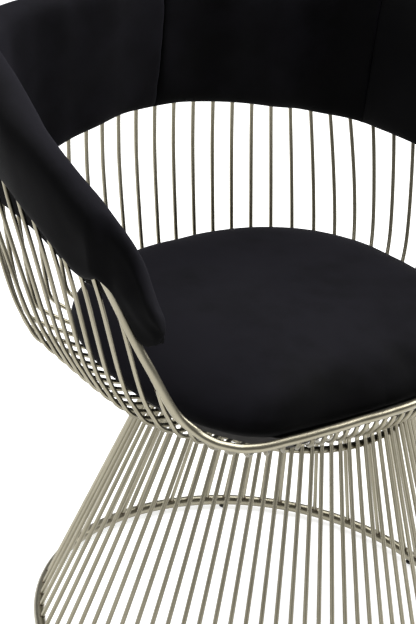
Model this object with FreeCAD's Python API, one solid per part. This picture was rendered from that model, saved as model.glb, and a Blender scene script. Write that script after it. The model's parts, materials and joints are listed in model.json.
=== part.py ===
import FreeCAD, Part
import os, math
from FreeCAD import Vector as V

os.makedirs("parts", exist_ok=True)

# Upholstered wire armchair, millimetres, +Z up.
# Front of the chair is -Y, the sitter's left is +X.
# Origin: on the floor, under the middle of the overall box.

# ---------------------------------------------------------------- dimensions
R = 265.0                 # outer radius of the floor ring, the unit of the layout
Y_SHIFT = -30.77          # moves the ring axis so the box is centred on the origin
RING_BAR = 13.0           # floor ring bar diameter
GLIDE_H = 3.0             # height of the floor glides
GLIDE_D = 11.0
GLIDE_STEM_D = 5.0
GLIDE_STEM_H = 5.0
GLIDES = 6
ROD_D = 4.8               # wire diameter
RODS = 74                 # wires round the chair
ROD_CROWD = -0.13         # spacing tighter at the front than at the back
LEAN_Z = 344.0            # height where the lean starts
LEAN_SOFT = 10.0          # and how softly it starts
WAIST_R = 141.2           # corner of each wire at the waist
WAIST_Z = 341.7
WAIST_BEND = 8.0          # bend radius of the wires at the waist
RAIL_D = 10.0             # bent rail that closes the basket
RAIL_JOIN = 88.0          # angle from the front where front and top rail meet
WAIST_RING_BAR = 8.0
WAIST_RING_Z = 327.0
GAP = 0.3                 # clearance between separate pieces
BOARD_R = 201.0           # seat board
BOARD_FRONT = 154.0
BOARD_Z = 363.0
BOARD_T = 12.0
DUST_R = 191.0
DUST_T = 1.0
BOLT_R = 124.0            # pitch radius of the four seat bolts
BOLT_D = 6.0
TAB_T = 3.0
PAD_SLOT = 7.5            # half width of the slot in the back pad
PAD_IN = 17.0             # thickness of the pad's inner leg on the arm
PAD_IN_SIDE = 22.0        # the same at the side seam
PAD_IN_BACK = 15.0        # the same at the back centre
PAD_IN_TIP = 9.0          # and at the front tip of the arm
PAD_OUT = 15.0            # thickness of the pad's outer lip
PAD_SEAM = 127.5          # angle from the front of the side seams
TIP = 70.3                # angle of the front tip of the arm pad
CLIP_T = 1.5
CLIP_W = 14.0

# ---------------------------------------------------------------- layout curves
def pchip(table):
    xs = [p[0] for p in table]
    ys = [p[1] for p in table]
    n = len(xs)
    h = [xs[i + 1] - xs[i] for i in range(n - 1)]
    s = [(ys[i + 1] - ys[i]) / h[i] for i in range(n - 1)]
    m = [0.0] * n
    for i in range(1, n - 1):
        if s[i - 1] * s[i] > 0:
            w1 = 2 * h[i] + h[i - 1]
            w2 = h[i] + 2 * h[i - 1]
            m[i] = (w1 + w2) / (w1 / s[i - 1] + w2 / s[i])
    m[0] = s[0] if abs(s[0]) < 1e-9 else m[1] * 0.5
    m[-1] = m[-2] * 0.5

    def f(x):
        x = min(max(x, xs[0]), xs[-1])
        i = 0
        while i < n - 2 and x > xs[i + 1]:
            i += 1
        t = (x - xs[i]) / h[i]
        return ((2 * t ** 3 - 3 * t ** 2 + 1) * ys[i] + (t ** 3 - 2 * t ** 2 + t) * h[i] * m[i]
                + (-2 * t ** 3 + 3 * t ** 2) * ys[i + 1] + (t ** 3 - t ** 2) * h[i] * m[i + 1])
    return f

def scaled(table, kx=1.0, ky=1.0):
    return [(a * kx, b * ky) for a, b in table]

# reach of the basket by angle from the front, in ring radii
REACH = pchip(scaled([(0, .713), (11.2, .727), (27.2, .823), (39.7, .974), (48.1, 1.118), (52.2, 1.160),
                      (56.2, 1.166), (66, 1.137), (74, 1.158), (82, 1.176), (90, 1.176), (98, 1.178),
                      (104, 1.186), (110, 1.205), (116, 1.239), (122, 1.292), (128, 1.347), (134, 1.353),
                      (141, 1.311), (150, 1.222), (165, 1.144), (180, 1.137)], 1.0, R))
# share of that reach by height, in ring radii, on the front and sides and at the back
RISE_SIDE = pchip(scaled([(1.2894, 0), (1.31, .16), (1.342, .40), (1.4, .588), (1.475, .673), (1.55, .742),
                          (1.64, .790), (1.77, .842), (1.95, .910), (2.15, 1.0), (2.6, 1.167), (3.0, 1.30)], R, 1.0))
RISE_BACK = pchip(scaled([(1.2894, 0), (1.31, .16), (1.342, .50), (1.4, .742), (1.475, .785), (1.55, .818),
                          (1.64, .854), (1.77, .904), (1.95, .962), (2.15, 1.0), (2.6, 1.01), (3.0, 1.02)], R, 1.0))
# lean of the wires to the back by angle of their legs, in degrees per metre of height
LEAN = pchip([(0, 0), (40, 19.1), (60, 34.2), (75, 37.5), (90, 36.0), (105, 44.0), (120, 45.0), (135, 27.3),
              (150, 12.0), (165, 5.0), (180, 0)])
# height of the rail by angle from the front
RAIL_Z = pchip(scaled([(0, 1.443), (20, 1.443), (40, 1.443), (56, 1.443), (60, 1.453), (64, 1.481), (66.5, 1.517),
                       (69.4, 1.61), (72.2, 1.717), (74.7, 1.80), (78, 1.926), (80, 2.013), (82.3, 2.11),
                       (85.5, 2.21), (89, 2.29), (95, 2.37), (105, 2.437), (114, 2.492), (126, 2.54),
                       (138.5, 2.577), (156.4, 2.625), (180, 2.665)], 1.0, R))
# edges of the back pad by angle from the front
PAD_LOW_IN = pchip(scaled([(70.3, 1.889), (71.3, 1.847), (72.3, 1.832), (74.2, 1.828), (76, 1.85), (77.8, 1.902),
                           (79.8, 1.935), (84.4, 1.955), (95, 1.958), (105, 1.985), (112, 2.0), (125.5, 2.0),
                           (134.1, 2.006), (143, 2.045), (150, 2.08), (158, 2.112), (165, 2.13), (172, 2.14),
                           (180, 2.143)], 1.0, R))
PAD_LOW_OUT = pchip(scaled([(70.3, 1.0), (79.2, 1.5), (80.0, 2.175), (81, 2.115), (82.4, 2.085), (85.1, 2.070),
                            (89, 2.102), (93.5, 2.138), (97.4, 2.166), (101.6, 2.189), (107.2, 2.218),
                            (111.6, 2.234), (116, 2.255), (125, 2.33), (138.6, 2.42), (156.6, 2.496),
                            (180, 2.545)], 1.0, R))
PAD_TOP = pchip(scaled([(70.2, 1.952), (70.7, 1.995), (71.3, 2.03), (72, 2.075), (73.9, 2.205), (75.8, 2.27),
                        (77.7, 2.32), (82.1, 2.406), (88.2, 2.485), (94.6, 2.544), (104.1, 2.61), (113.2, 2.67),
                        (120, 2.705), (126, 2.725), (140, 2.748), (160, 2.766), (180, 2.78)], 1.0, R))
# the outer lip stops on the arm, and only a tongue inside the rail runs on
LIP = pchip([(69.0, 0.0), (79.4, 0.0), (81.2, 1.0), (180, 1.0)])
# plan of the seat cushion at its widest
SEAT_PLAN = pchip(scaled([(0, .645), (13.2, .659), (25.2, .705), (35.2, .776), (41.2, .832), (47.2, .881),
                          (53.2, .905), (59.2, .912), (67.2, .908), (77, .902), (90, .900), (105, .910),
                          (120, .930), (135, .935), (150, .915), (165, .892), (180, .885)], 1.0, R))
# seat cushion profile: height and share of the plan
SEAT_PROFILE = [(375.4, .875), (380.0, .930), (387.0, .978), (396.0, 1.0), (406.0, .988), (415.0, .945),
                (423.0, .865), (429.0, .74), (433.0, .55), (435.0, .30)]

def fold(deg):
    return abs((deg + 180.0) % 360.0 - 180.0)

def reach_at(deg, z):
    f = fold(deg)
    t = min(1.0, max(0.0, (f - 88.0) / 62.0))
    w = t * t * (3 - 2 * t)
    return WAIST_R + (REACH(f) - WAIST_R) * ((1 - w) * RISE_SIDE(z) + w * RISE_BACK(z))

def at(deg, r, z):
    a = math.radians(deg)
    return V(r * math.sin(a), -r * math.cos(a), z)

def on_wire(deg, z):
    # point of the bowl on the wire whose leg stands at this angle
    h = max(0.0, z - LEAN_Z)
    side = 1.0 if (deg + 180.0) % 360.0 >= 180.0 else -1.0
    a = deg + side * LEAN(fold(deg)) * h * h / (h + LEAN_SOFT) / 1000.0
    return at(a, reach_at(a, z), z), a

made = {}

def keep(name, shapes):
    if not isinstance(shapes, (list, tuple)):
        shapes = [shapes]
    solids = []
    for s in shapes:
        for so in s.Solids:
            c = so.copy()
            c.translate(V(0, Y_SHIFT, 0))
            solids.append(c)
    shape = solids[0] if len(solids) == 1 else Part.makeCompound(solids)
    bad = [i for i, so in enumerate(solids) if not so.isValid() or so.Volume <= 0]
    shape.exportStep("parts/%s.step" % name)
    made[name] = shape
    print("%-20s solids %3d  volume %10.1f cm3  invalid %s" % (name, len(solids), shape.Volume / 1000.0, bad))

# ---------------------------------------------------------------- floor ring and glides
ring_r = R - RING_BAR / 2
ring_z = GLIDE_H + RING_BAR / 2
ring = Part.makeTorus(ring_r, RING_BAR / 2, V(0, 0, ring_z), V(0, 0, 1))
glides = []
for i in range(GLIDES):
    p = at(30 + i * 360.0 / GLIDES, ring_r, 0)
    hole = Part.makeCylinder(GLIDE_STEM_D / 2 + GAP, GLIDE_STEM_H + 1.0, V(p.x, p.y, GLIDE_H - 0.6))
    ring = ring.cut(hole)
    foot = Part.makeCylinder(GLIDE_D / 2, GLIDE_H - GAP, V(p.x, p.y, 0))
    edge = [e for e in foot.Edges if abs(e.BoundBox.ZMax) < 1e-6 and len(e.Vertexes) == 1]
    foot = foot.makeChamfer(0.6, edge)
    stem = Part.makeCylinder(GLIDE_STEM_D / 2, GLIDE_STEM_H, V(p.x, p.y, GLIDE_H - GAP - 0.5))
    glides.append(foot.fuse(stem).removeSplitter())
keep("floor_ring", ring)
keep("floor_glides", glides)

# ---------------------------------------------------------------- rail
def rail_point(deg):
    z = RAIL_Z(fold(deg))
    return at(deg, reach_at(deg, z), z)

def bent_edges(pts):
    # straight runs joined by tangent arcs, as wire is bent
    edges = []
    start = pts[0]
    for i in range(1, len(pts) - 1):
        a, b = pts[i] - pts[i - 1], pts[i + 1] - pts[i]
        cut = 0.45 * min(a.Length, b.Length)
        a, b = V(a).normalize(), V(b).normalize()
        turn = a.getAngle(b)
        if turn < 2e-4:
            continue
        bow = cut / math.tan(turn / 2) * (1 / math.cos(turn / 2) - 1)
        p, q = pts[i] - a * cut, pts[i] + b * cut
        m = pts[i] + (b - a).normalize() * bow
        edges += [Part.makeLine(start, p), Part.Arc(p, m, q).toShape()]
        start = q
    edges.append(Part.makeLine(start, pts[-1]))
    return edges

def round_bar(edges, d):
    w = Part.Wire(edges)
    p0 = edges[0].Vertexes[0].Point
    t0 = edges[0].tangentAt(edges[0].FirstParameter)
    prof = Part.Wire([Part.Edge(Part.Circle(p0, t0, d / 2))])
    bar = w.makePipeShell([prof], True, False)
    share = bar.Volume / (w.Length * math.pi * d * d / 4)
    if not bar.isValid() or abs(share - 1) > 0.004:
        raise ValueError("bar does not close: %s %.4f" % (bar.isValid(), share))
    return bar

def rail_piece(d0, d1, step):
    n = int(round((d1 - d0) / step))
    return round_bar(bent_edges([rail_point(d0 + (d1 - d0) * i / n) for i in range(n + 1)]), RAIL_D)

half_gap = math.degrees(GAP / 2 / (1.3 * R))
keep("front_rail", rail_piece(-RAIL_JOIN + half_gap, RAIL_JOIN - half_gap, 3.2))
keep("top_rail", rail_piece(RAIL_JOIN + half_gap, 360 - RAIL_JOIN - half_gap, 4.6))
rail_axis = [rail_point(i * 0.4) for i in range(900)]

# ---------------------------------------------------------------- wires
def wire_rod(deg):
    # the leg and the waist bend lie in the radial plane: (r, z)
    foot_c = (ring_r, ring_z)
    lx, lz = WAIST_R - foot_c[0], WAIST_Z - foot_c[1]
    ll = math.hypot(lx, lz)
    lx, lz = lx / ll, lz / ll
    foot = (foot_c[0] + lx * (RING_BAR / 2 + GAP), foot_c[1] + lz * (RING_BAR / 2 + GAP))
    z2 = 1.31 * R
    p2 = (reach_at(deg, z2), z2)
    tx, tz = p2[0] - WAIST_R, p2[1] - WAIST_Z
    tl = math.hypot(tx, tz)
    tx, tz = tx / tl, tz / tl
    inner = math.acos(max(-1.0, min(1.0, -(lx * tx + lz * tz))))
    cut = WAIST_BEND / math.tan(inner / 2)
    a0 = (WAIST_R - lx * cut, WAIST_Z - lz * cut)
    a1 = (WAIST_R + tx * cut, WAIST_Z + tz * cut)
    bx, bz = tx - lx, tz - lz
    bl = math.hypot(bx, bz)
    mid = WAIST_BEND / math.sin(inner / 2) - WAIST_BEND
    am = (WAIST_R + bx / bl * mid, WAIST_Z + bz / bl * mid)
    # follow the bowl up to the rail, stop clear of it
    cross = z2
    while cross < RAIL_Z(fold(on_wire(deg, cross)[1])):
        cross += 1.0
    rail_c = on_wire(deg, cross)[0]
    near = [q for q in rail_axis if (q - rail_c).Length < 60]
    stop = z2 + 1.0
    steps = 400
    for i in range(steps + 1):
        zz = z2 + (cross - z2) * i / steps
        c = on_wire(deg, zz)[0]
        t = (on_wire(deg, zz + 0.5)[0] - c).normalize()
        side = V(t.y, -t.x, 0).normalize()
        up = t.cross(side)
        rim = [c] + [c + (side * math.cos(k * math.pi / 4) + up * math.sin(k * math.pi / 4)) * (ROD_D / 2)
                     for k in range(8)]
        if min((q - w).Length for q in rim for w in near) < RAIL_D / 2 + GAP:
            break
        stop = zz
    e1 = Part.makeLine(at(deg, *foot), at(deg, *a0))
    e2 = Part.Arc(at(deg, *a0), at(deg, *am), at(deg, *a1)).toShape()
    # points about 26 mm apart along the bowl
    pts = [at(deg, *a1), at(deg, *p2)]
    last = on_wire(deg, stop)[0]
    zz = z2
    while True:
        zz += 0.25
        p = on_wire(deg, zz)[0]
        if zz >= stop or (last - p).Length < 14.0:
            break
        if (p - pts[-1]).Length >= 26.0:
            pts.append(p)
    pts.append(last)
    return round_bar([e1, e2] + bent_edges(pts), ROD_D)

SECTORS = ["front", "front_left", "left", "back_left", "back", "back_right", "right", "front_right"]
groups = {s: [] for s in SECTORS}
for i in range(RODS):
    th = (i + 0.5) * 2 * math.pi / RODS
    deg = math.degrees(th + ROD_CROWD * math.sin(th))
    groups[SECTORS[int(((deg + 22.5) % 360.0) // 45.0)]].append(wire_rod(deg))
for s in SECTORS:
    keep("rods_" + s, groups[s])

# ---------------------------------------------------------------- waist ring and seat fixings
waist_ring_r = 143.3 - WAIST_RING_BAR / 2
keep("waist_ring", Part.makeTorus(waist_ring_r, WAIST_RING_BAR / 2, V(0, 0, WAIST_RING_Z), V(0, 0, 1)))
tab_z = WAIST_RING_Z + WAIST_RING_BAR / 2 + GAP
post_z = tab_z + TAB_T + GAP
post_top = BOARD_Z - GAP
tabs, posts, bolts, inserts = [], [], [], []
for i in range(4):
    a = 45 + i * 90
    p = at(a, BOLT_R, 0)
    q = at(a, waist_ring_r, 0)
    tab = Part.makeBox(32, 24, TAB_T, V(BOLT_R - 16, -12, tab_z))
    corner = [e for e in tab.Edges if e.BoundBox.ZLength > TAB_T - 0.1 and e.BoundBox.XMax < BOLT_R]
    tab = tab.makeFillet(8.0, corner)
    tab.rotate(V(0, 0, 0), V(0, 0, 1), a - 90)
    tab = tab.cut(Part.makeCylinder(BOLT_D / 2 + GAP, 20, V(p.x, p.y, tab_z - 8)))
    tabs.append(tab)
    post = Part.makeCylinder(10, post_top - post_z, V(p.x, p.y, post_z))
    posts.append(post.cut(Part.makeCylinder(BOLT_D / 2 + GAP, 60, V(p.x, p.y, post_z - 10))))
    shank = Part.makeCylinder(BOLT_D / 2, BOARD_Z + 10 - (tab_z - GAP), V(p.x, p.y, tab_z - GAP))
    head = Part.makeCylinder(5.2, 4.0, V(p.x, p.y, tab_z - GAP - 4.0))
    top = [e for e in head.Edges if abs(e.BoundBox.ZMax - (tab_z - GAP - 4.0)) < 1e-6 and len(e.Vertexes) == 1]
    head = head.makeFillet(1.2, top)
    hx = Part.makePolygon([V(p.x + 2.3 * math.cos(k * math.pi / 3), p.y + 2.3 * math.sin(k * math.pi / 3),
                             tab_z - GAP - 4.0) for k in range(7)])
    socket = Part.Face(hx).extrude(V(0, 0, 2.2))
    bolts.append(shank.fuse(head.cut(socket)).removeSplitter())
    ins = Part.makeCylinder(5.0, 10.5, V(p.x, p.y, BOARD_Z + 0.3))
    inserts.append(ins.cut(Part.makeCylinder(BOLT_D / 2 + GAP, 14, V(p.x, p.y, BOARD_Z - 1))))
keep("seat_tabs", tabs)
keep("seat_posts", posts)
keep("seat_bolts", bolts)
keep("seat_inserts", inserts)

# ---------------------------------------------------------------- seat board and dust cover
def dee(r, front, z, t, corner):
    body = Part.makeCylinder(r, t, V(0, 0, z))
    body = body.cut(Part.makeBox(4 * r, 2 * r, t + 2, V(-2 * r, -front - 2 * r, z - 1)))
    verts = [e for e in body.Edges if e.BoundBox.ZLength > t - 0.01 and e.BoundBox.XLength < 0.01
             and abs(e.BoundBox.YMin + front) < 0.01]
    return body.makeFillet(corner, verts)

board = dee(BOARD_R, BOARD_FRONT, BOARD_Z, BOARD_T, 24)
dust = dee(DUST_R, BOARD_FRONT - 10, BOARD_Z - GAP - DUST_T, DUST_T, 24)
for i in range(4):
    p = at(45 + i * 90, BOLT_R, 0)
    board = board.cut(Part.makeCylinder(5.0 + GAP, BOARD_T + 2, V(p.x, p.y, BOARD_Z - 1)))
    dust = dust.cut(Part.makeCylinder(12, 6, V(p.x, p.y, BOARD_Z - 4)))
keep("seat_board", board)
keep("seat_dust_cover", dust)

# ---------------------------------------------------------------- seat cushion
def closed_curve(pts):
    c = Part.BSplineCurve()
    c.interpolate(Points=pts, PeriodicFlag=True)
    return Part.Wire([c.toShape()])

loops = []
for z, k in SEAT_PROFILE:
    loops.append(closed_curve([at(d, SEAT_PLAN(fold(d)) * k, z) for d in range(0, 360, 6)]))
keep("seat_cushion", Part.makeLoft(loops, True, True))

# ---------------------------------------------------------------- back and arm pads
def rail_roof(deg):
    # lowest height of the pad above the rail, allowing for the rail's slope
    p, q = rail_point(deg - 0.25), rail_point(deg + 0.25)
    run = math.hypot(q.x - p.x, q.y - p.y)
    slope = math.atan2(abs(q.z - p.z), run)
    return RAIL_Z(fold(deg)) + (RAIL_D / 2 + CLIP_T + GAP + 0.7) / math.cos(slope)

pad_thick = pchip([(70.0, PAD_IN_TIP), (73.0, PAD_IN_TIP + 2.0), (80.0, PAD_IN - 1.0), (90.0, PAD_IN),
                   (115.0, PAD_IN + 2.0), (128.0, PAD_IN_SIDE), (140.0, PAD_IN_SIDE), (180.0, PAD_IN_BACK)])

def pad_section(deg):
    f = fold(deg)
    lip = LIP(f)
    lo_i, top = PAD_LOW_IN(f), PAD_TOP(f)
    roof = max(rail_roof(deg), lo_i + 4.0)
    roof = min(roof, top - 8.0)
    lo_o = min(max(PAD_LOW_OUT(f), roof - 2.5) if lip < 0.5 else PAD_LOW_OUT(f), roof - 2.5)
    s_in = PAD_SLOT
    s_out = 1.5 + (PAD_SLOT - 1.5) * lip
    t_out = 5.0 + (PAD_OUT - 5.0) * lip
    t_in = pad_thick(f)
    k = min(1.0, max(0.1, (top - lo_o) / 60.0))
    ki = min(1.0, max(0.12, (top - lo_i) / 70.0))
    h = top - lo_i
    outer = [(-s_in, lo_i + 1.0), (-s_in - t_in * .55, lo_i - 2.0 * ki), (-s_in - t_in * .95, lo_i + 9 * ki),
             (-s_in - t_in * 1.02, lo_i + h * .45), (-s_in - t_in * .98, lo_i + h * .75),
             (-s_in - t_in * .62, top - 7 * k), ((s_out + t_out - s_in - t_in) * .45, top),
             (s_out + t_out * .55, top - 9 * k), (s_out + t_out, top - 28 * k),
             (s_out + t_out * .98, lo_o + (top - 28 * k - lo_o) * .35), (s_out + t_out * .85, lo_o + 5 * k),
             (s_out + t_out * .4, lo_o - 1.0 * k), (s_out, lo_o + 1.0)]
    slot = [(s_out, lo_o + 1.0), (s_out, roof), (-s_in, roof), (-s_in, lo_i + 1.0)]

    def pt(o, z):
        return at(deg, reach_at(deg, z) + o, z)
    c = Part.BSplineCurve()
    c.interpolate(Points=[pt(o, z) for o, z in outer])
    edges = [c.toShape()]
    for a, b in zip(slot[:-1], slot[1:]):
        edges.append(Part.makeLine(pt(*a), pt(*b)))
    return Part.Wire(edges)

def pad_loft(angles, ruled):
    return Part.makeLoft([pad_section(a) for a in angles], True, ruled)

def spread(a, b, n):
    return [a + (b - a) * i / n for i in range(n + 1)]

seam = math.degrees(GAP / 2 / (1.2 * R))
arm_cuts = [TIP, 70.7, 71.2, 72, 73.2, 74.6, 76, 77.4, 78.6, 79.4, 79.8, 80.3, 80.8, 81.3, 82.3, 84, 86.5, 89,
            92, 95.5, 99, 103, 107, 112, 117, 122, PAD_SEAM - seam]
for side, sg in (("left", 1), ("right", -1)):
    keep("back_pad_" + side, pad_loft([sg * a for a in spread(PAD_SEAM + seam, 180 - seam, 6)], False))
    keep("arm_pad_" + side, pad_loft([sg * a for a in arm_cuts], True))

# ---------------------------------------------------------------- clips that hold the pads on the rail
clips = []
for a in (92, 108, 124, 142, 162, 198, 218, 236, 252, 268):
    c = rail_point(a)
    t = (rail_point(a + 0.5) - rail_point(a - 0.5)).normalize()
    up = V(0, 0, 1)
    up = (up - t * up.dot(t)).normalize()
    sd = t.cross(up)
    ri, ro = RAIL_D / 2 + GAP, RAIL_D / 2 + GAP + CLIP_T

    def on(r, ang):
        return c - t * (CLIP_W / 2) + up * (r * math.cos(ang)) + sd * (r * math.sin(ang))
    w = math.radians(115)
    prof = Part.Wire([Part.Arc(on(ro, -w), on(ro, 0), on(ro, w)).toShape(), Part.makeLine(on(ro, w), on(ri, w)),
                      Part.Arc(on(ri, w), on(ri, 0), on(ri, -w)).toShape(), Part.makeLine(on(ri, -w), on(ro, -w))])
    clips.append(Part.Face(prof).extrude(t * CLIP_W))
keep("pad_clips", clips)

box = FreeCAD.BoundBox()
for n, s in made.items():
    b = s.optimalBoundingBox(False, False)
    box.add(b)
print("box", [round(v, 2) for v in (box.XMin, box.XMax, box.YMin, box.YMax, box.ZMin, box.ZMax)])
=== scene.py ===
import json
import math
import bpy
import bmesh
import numpy as np
from mathutils import Vector, Matrix


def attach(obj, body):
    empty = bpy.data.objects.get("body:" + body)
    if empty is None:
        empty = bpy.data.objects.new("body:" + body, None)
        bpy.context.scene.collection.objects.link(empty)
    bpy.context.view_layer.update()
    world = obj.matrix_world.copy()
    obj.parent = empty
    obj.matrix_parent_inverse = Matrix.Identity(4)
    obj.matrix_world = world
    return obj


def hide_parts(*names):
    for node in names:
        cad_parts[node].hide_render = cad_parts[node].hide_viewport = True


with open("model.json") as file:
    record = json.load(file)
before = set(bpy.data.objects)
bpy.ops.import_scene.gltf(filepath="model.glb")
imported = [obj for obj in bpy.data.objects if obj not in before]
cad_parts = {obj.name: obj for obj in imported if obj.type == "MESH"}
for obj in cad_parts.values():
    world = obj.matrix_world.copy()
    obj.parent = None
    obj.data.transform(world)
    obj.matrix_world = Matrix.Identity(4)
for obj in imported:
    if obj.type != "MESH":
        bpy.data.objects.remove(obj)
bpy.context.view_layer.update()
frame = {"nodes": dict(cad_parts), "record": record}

nodes = frame["nodes"]
scene = bpy.context.scene

# ------------------------------------------------------------------ camera
R = 0.265            # outer radius of the floor ring
Y_SHIFT = -0.03077   # ring axis in the row frame
IMG_W, IMG_H = 416.0, 624.0
CAM_F, CAM_E, CAM_ROLL = 2100.0, math.radians(35.114), math.radians(7.748)
CAM_U, CAM_V, CAM_D = 252.647, 622.167, 9.66766
CAM_TURN = math.radians(43.2)


def make_camera():
    e, ro = CAM_E, CAM_ROLL
    c = np.array([0.0, -CAM_D * math.cos(e), CAM_D * math.sin(e)])
    f0 = -c / np.linalg.norm(c)
    right = np.array([1.0, 0.0, 0.0])
    up = np.cross(right, f0)
    r1 = math.cos(ro) * right + math.sin(ro) * up
    u1 = -math.sin(ro) * right + math.cos(ro) * up
    a = math.atan((CAM_U - IMG_W / 2) / CAM_F)
    f2 = math.cos(a) * f0 - math.sin(a) * r1
    r2 = math.sin(a) * f0 + math.cos(a) * r1
    b = math.atan((CAM_V - IMG_H / 2) / CAM_F * math.cos(a))
    f3 = math.cos(b) * f2 + math.sin(b) * u1
    u3 = -math.sin(b) * f2 + math.cos(b) * u1
    s, k = math.sin(CAM_TURN), math.cos(CAM_TURN)
    turn = np.array([[k, s, 0], [-s, k, 0], [0, 0, 1.0]])
    c, f3, r2, u3 = (turn @ v for v in (c, f3, r2, u3))
    data = bpy.data.cameras.new("camera")
    data.sensor_fit = "VERTICAL"
    data.sensor_height = 36.0
    data.lens = CAM_F / IMG_H * 36.0
    data.clip_start, data.clip_end = 0.05, 60.0
    cam = bpy.data.objects.new("camera", data)
    m = Matrix.Identity(4)
    for i in range(3):
        m[i][0], m[i][1], m[i][2] = r2[i], u3[i], -f3[i]
        m[i][3] = c[i] * R + (Y_SHIFT if i == 1 else 0.0)
    cam.matrix_world = m
    scene.collection.objects.link(cam)
    scene.camera = cam


make_camera()

# ------------------------------------------------------------------ materials


class Nodes:
    def __init__(self, name):
        self.mat = bpy.data.materials.new(name)
        self.mat.use_nodes = True
        self.t = self.mat.node_tree
        self.t.nodes.clear()
        self.out = self.add("ShaderNodeOutputMaterial")
        self.p = self.add("ShaderNodeBsdfPrincipled")
        self.link(self.p.outputs[0], self.out.inputs[0])

    def add(self, kind, **kw):
        n = self.t.nodes.new(kind)
        for k, v in kw.items():
            setattr(n, k, v)
        return n

    def link(self, a, b):
        self.t.links.new(a, b)

    def coord(self, which="Object"):
        return self.add("ShaderNodeTexCoord").outputs[which]

    def mapping(self, src, scale=(1, 1, 1), rot=(0, 0, 0)):
        n = self.add("ShaderNodeMapping")
        n.inputs["Scale"].default_value = scale
        n.inputs["Rotation"].default_value = rot
        self.link(src, n.inputs["Vector"])
        return n.outputs[0]

    def noise(self, src, scale, detail=3.0, rough=0.5, dist=0.0):
        n = self.add("ShaderNodeTexNoise")
        n.inputs["Scale"].default_value = scale
        n.inputs["Detail"].default_value = detail
        n.inputs["Roughness"].default_value = rough
        n.inputs["Distortion"].default_value = dist
        self.link(src, n.inputs["Vector"])
        return n.outputs["Fac"]

    def ramp(self, src, stops, interp="LINEAR"):
        n = self.add("ShaderNodeValToRGB")
        cr = n.color_ramp
        cr.interpolation = interp
        while len(cr.elements) > 1:
            cr.elements.remove(cr.elements[-1])
        cr.elements[0].position, cr.elements[0].color = stops[0][0], stops[0][1]
        for pos, col in stops[1:]:
            el = cr.elements.new(pos)
            el.color = col
        self.link(src, n.inputs["Fac"])
        return n.outputs["Color"]

    def range(self, src, a, b, c, d):
        n = self.add("ShaderNodeMapRange")
        for i, v in zip((1, 2, 3, 4), (a, b, c, d)):
            n.inputs[i].default_value = v
        self.link(src, n.inputs[0])
        return n.outputs[0]

    def mix(self, fac, a, b, kind="MIX"):
        n = self.add("ShaderNodeMix", data_type="RGBA", blend_type=kind)
        for sock, v in ((n.inputs[0], fac), (n.inputs[6], a), (n.inputs[7], b)):
            if hasattr(v, "is_linked") or hasattr(v, "links"):
                self.link(v, sock)
            else:
                sock.default_value = v
        return n.outputs[2]

    def math(self, op, a, b=0.0):
        n = self.add("ShaderNodeMath", operation=op)
        for sock, v in ((n.inputs[0], a), (n.inputs[1], b)):
            if hasattr(v, "links"):
                self.link(v, sock)
            else:
                sock.default_value = v
        return n.outputs[0]

    def bump(self, height, strength, distance):
        n = self.add("ShaderNodeBump")
        n.inputs["Strength"].default_value = strength
        n.inputs["Distance"].default_value = distance
        self.link(height, n.inputs["Height"])
        self.link(n.outputs[0], self.p.inputs["Normal"])
        return n

    def set(self, **kw):
        for k, v in kw.items():
            self.p.inputs[k.replace("_", " ")].default_value = v


def brushed_metal(name, along=False):
    n = Nodes(name)
    obj = n.coord("Object")
    if along:
        # fine drawing lines that run the length of the bar
        fine = n.noise(n.mapping(n.coord("UV"), (60, 9, 1)), 6.0, 3, 0.65)
    else:
        fine = n.noise(n.mapping(obj, (1, 1, 0.06)), 2200, 2, 0.6)
    broad = n.noise(obj, 14, 3, 0.5)
    spots = n.noise(obj, 120, 4, 0.6)
    base = n.ramp(broad, [(0.3, (0.245, 0.226, 0.166, 1)), (0.7, (0.310, 0.288, 0.218, 1))])
    col = n.mix(n.range(spots, 0.62, 0.80, 0.0, 0.5), base, (0.17, 0.152, 0.106, 1))
    n.link(col, n.p.inputs["Base Color"])
    n.link(n.range(fine, 0.25, 0.75, 0.24, 0.40), n.p.inputs["Roughness"])
    n.set(Metallic=1.0)
    n.bump(fine, 0.05, 0.0003)
    return n.mat


def weld_metal(name):
    n = Nodes(name)
    obj = n.coord("Object")
    g = n.noise(obj, 420, 4, 0.6)
    n.link(n.ramp(g, [(0.30, (0.045, 0.035, 0.025, 1)), (0.55, (0.16, 0.13, 0.095, 1)), (0.75, (0.34, 0.30, 0.235, 1))]), n.p.inputs["Base Color"])
    n.link(n.range(g, 0.3, 0.7, 0.5, 0.32), n.p.inputs["Roughness"])
    n.set(Metallic=1.0)
    n.bump(g, 0.35, 0.0006)
    return n.mat


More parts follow.
